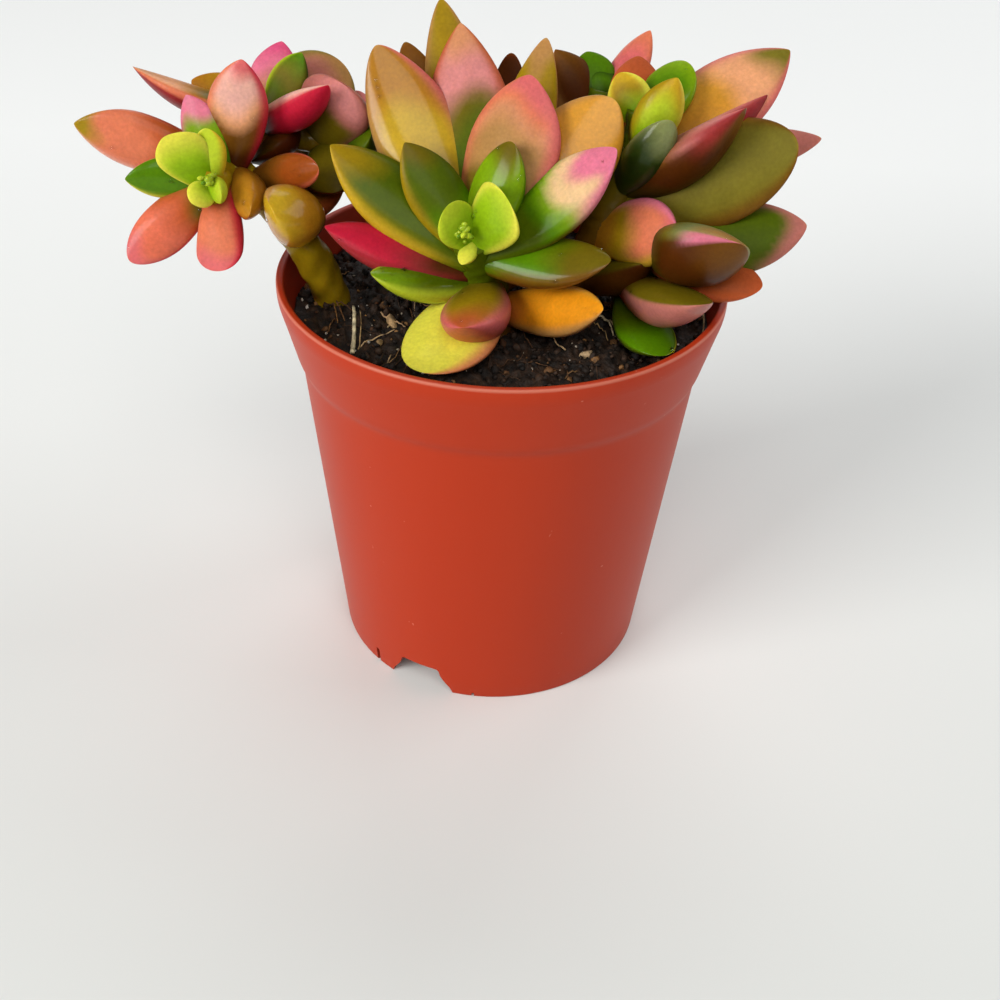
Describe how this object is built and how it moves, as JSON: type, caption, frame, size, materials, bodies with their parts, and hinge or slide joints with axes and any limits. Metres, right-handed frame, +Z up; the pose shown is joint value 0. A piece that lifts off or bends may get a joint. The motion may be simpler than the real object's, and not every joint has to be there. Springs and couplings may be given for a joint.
{
  "type": "potted sand rose",
  "caption": "Small potted sand rose: thick pointed leaves in loose rosettes on leaning stems, in dark soil in a tapered round nursery pot that stands on its foot.",
  "frame": {"origin": "centre of the pot's underside, on the surface that the pot stands on", "axes": "+Z up along the pot's axis, -Y towards the viewer, +X to the viewer's right"},
  "size_m": [0.0865, 0.055, 0.081],
  "materials": {
    "pot": "smooth, slightly satin terracotta plastic",
    "soil": "loose dark peat mix",
    "leaves_left": "waxy, orange and rose over olive",
    "leaves_back_left": "waxy, pink over dark green",
    "leaves_centre": "waxy, yellow-green with pink and orange tips",
    "leaves_right": "waxy, pink and orange over olive",
    "leaves_back": "waxy, green with red-brown tips"
  },
  "bodies": {
    "root": {"pot": "pot", "soil": "soil", "head_left": "leaves_left", "head_back_left": "leaves_back_left", "head_centre": "leaves_centre", "head_right": "leaves_right", "head_back": "leaves_back"}
  },
  "joints": []
}
